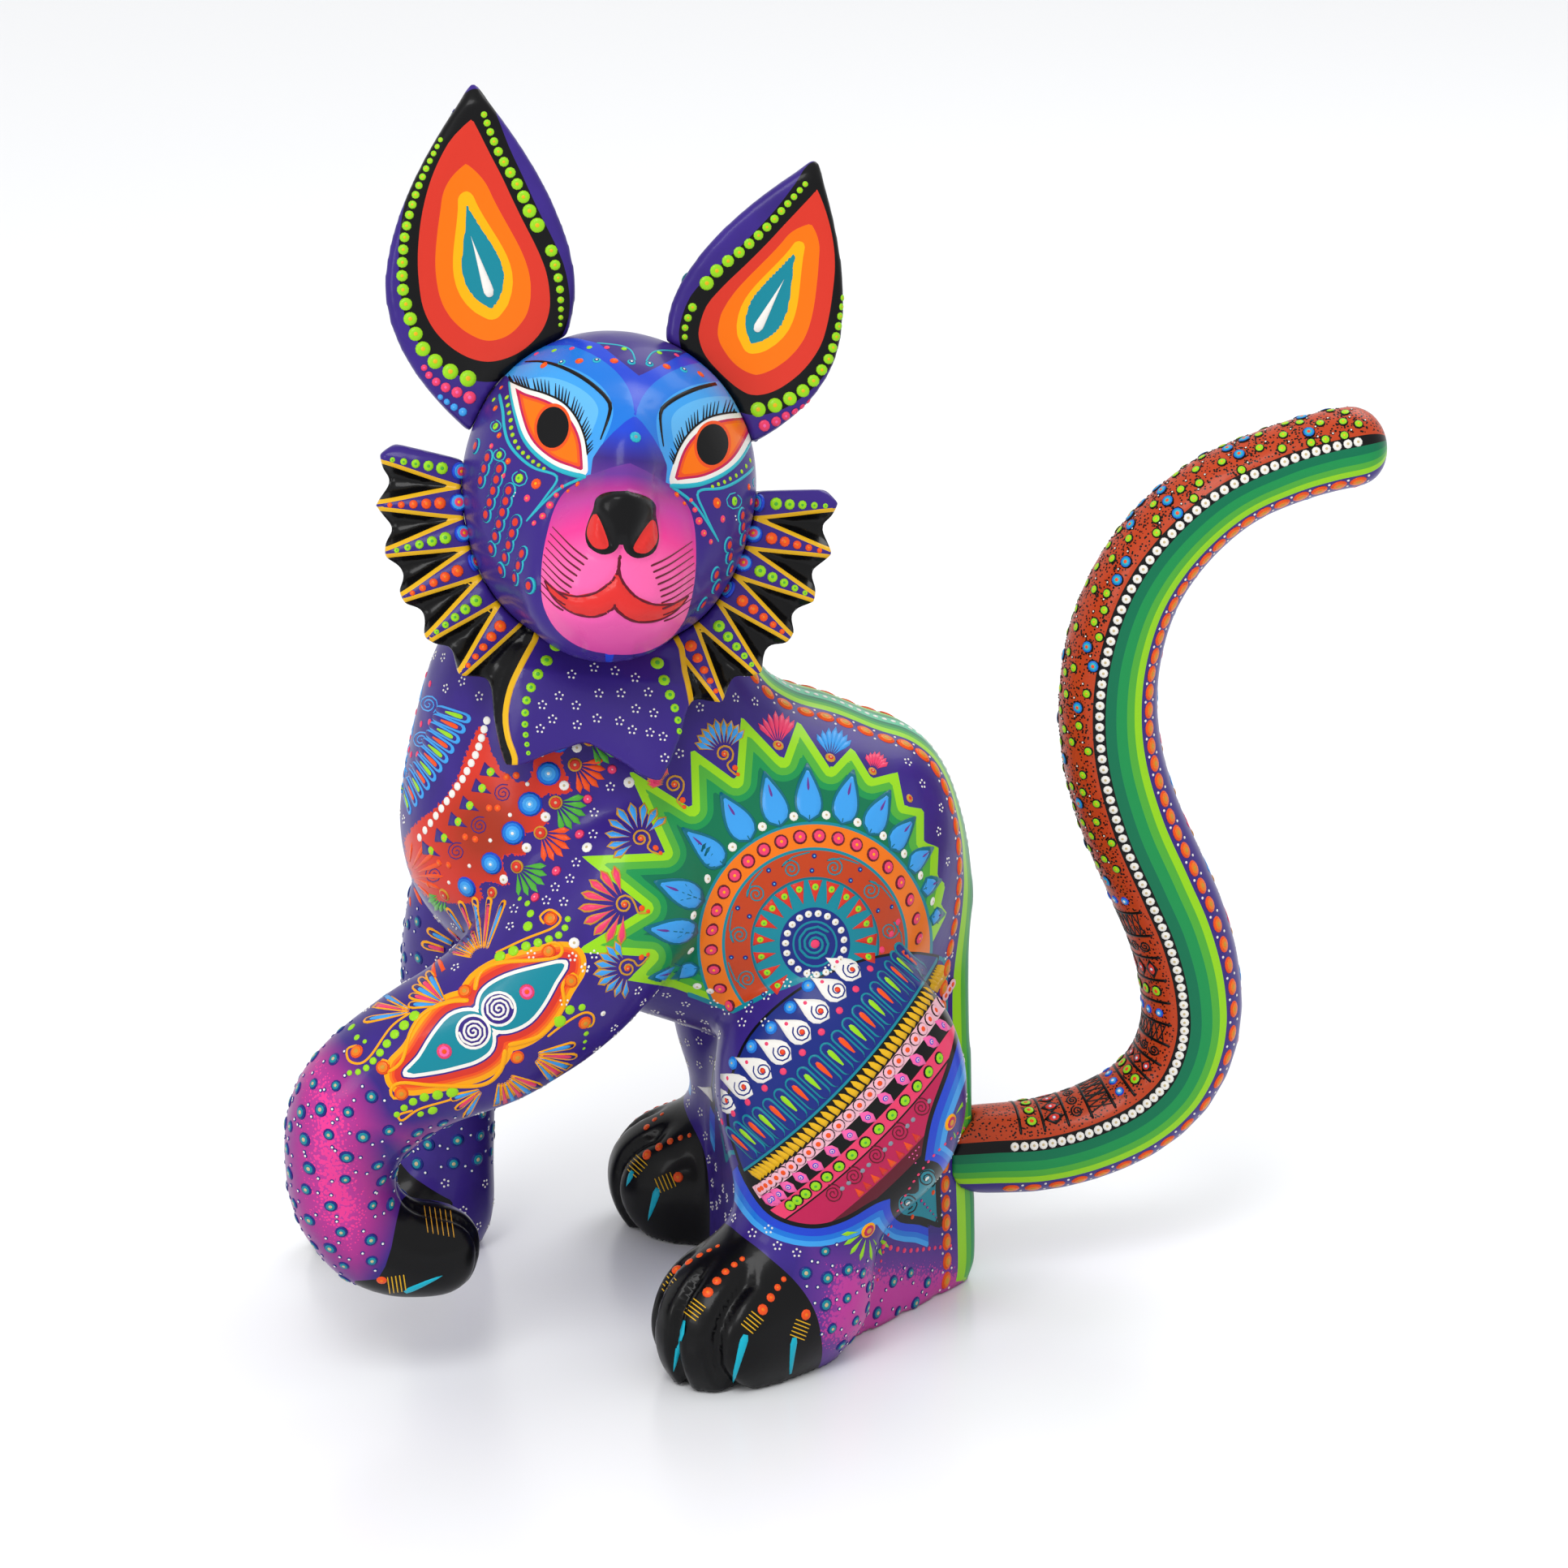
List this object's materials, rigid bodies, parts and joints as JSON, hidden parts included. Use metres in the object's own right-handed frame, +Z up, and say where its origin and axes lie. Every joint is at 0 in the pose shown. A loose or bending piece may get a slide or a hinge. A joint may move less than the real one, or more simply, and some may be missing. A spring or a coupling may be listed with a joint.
{
  "type": "alebrije figure",
  "caption": "Carved and painted wooden lynx sitting with one foreleg raised and its head turned to its left, with plug-in ears and a plug-in S-shaped tail.",
  "frame": {"origin": "middle of the flat patch of wood under the rump that the figure sits on", "axes": "+Z up; -Y is the way the body faces; +X is the lynx's left side, towards which the head turns"},
  "size_m": [0.1363, 0.2905, 0.3202],
  "materials": {
    "body_paint": "glossy varnished acrylic paint in many small motifs over violet",
    "leg_paint": "glossy varnished acrylic paint, violet and magenta with black paws",
    "face_paint": "glossy varnished acrylic paint, blue brow shading to a pink muzzle",
    "ruff_paint": "glossy varnished acrylic paint, black flutes between violet rays",
    "ear_paint": "glossy varnished acrylic paint, nested flame in a black border",
    "tail_paint": "glossy varnished acrylic paint in long stripes",
    "bare_wood": "unpainted turned dowel"
  },
  "bodies": {
    "carving": {"torso": "body_paint", "left_foreleg": "leg_paint", "right_foreleg": "leg_paint", "left_hind_leg": "leg_paint", "right_hind_leg": "leg_paint", "head": "face_paint", "ruff": "ruff_paint", "neck_dowel": "bare_wood", "left_shoulder_dowel": "bare_wood", "right_shoulder_dowel": "bare_wood", "left_hip_dowel": "bare_wood", "left_shin_dowel": "bare_wood", "right_hip_dowel": "bare_wood", "right_shin_dowel": "bare_wood"},
    "left_ear": {"left_ear": "ear_paint", "left_ear_peg": "bare_wood"},
    "right_ear": {"right_ear": "ear_paint", "right_ear_peg": "bare_wood"},
    "tail": {"tail": "tail_paint", "tail_peg": "bare_wood"}
  },
  "joints": [
    {"name": "left_ear_pull", "type": "slide", "parent": "carving", "child": "left_ear", "axis": [-0.1496, 0.5802, 0.8006], "range_m": [0, 0.02]},
    {"name": "right_ear_pull", "type": "slide", "parent": "carving", "child": "right_ear", "axis": [-0.2563, -0.3143, 0.9141], "range_m": [0, 0.02]},
    {"name": "tail_pull", "type": "slide", "parent": "carving", "child": "tail", "axis": [0, 1, 0], "range_m": [0, 0.025]}
  ]
}
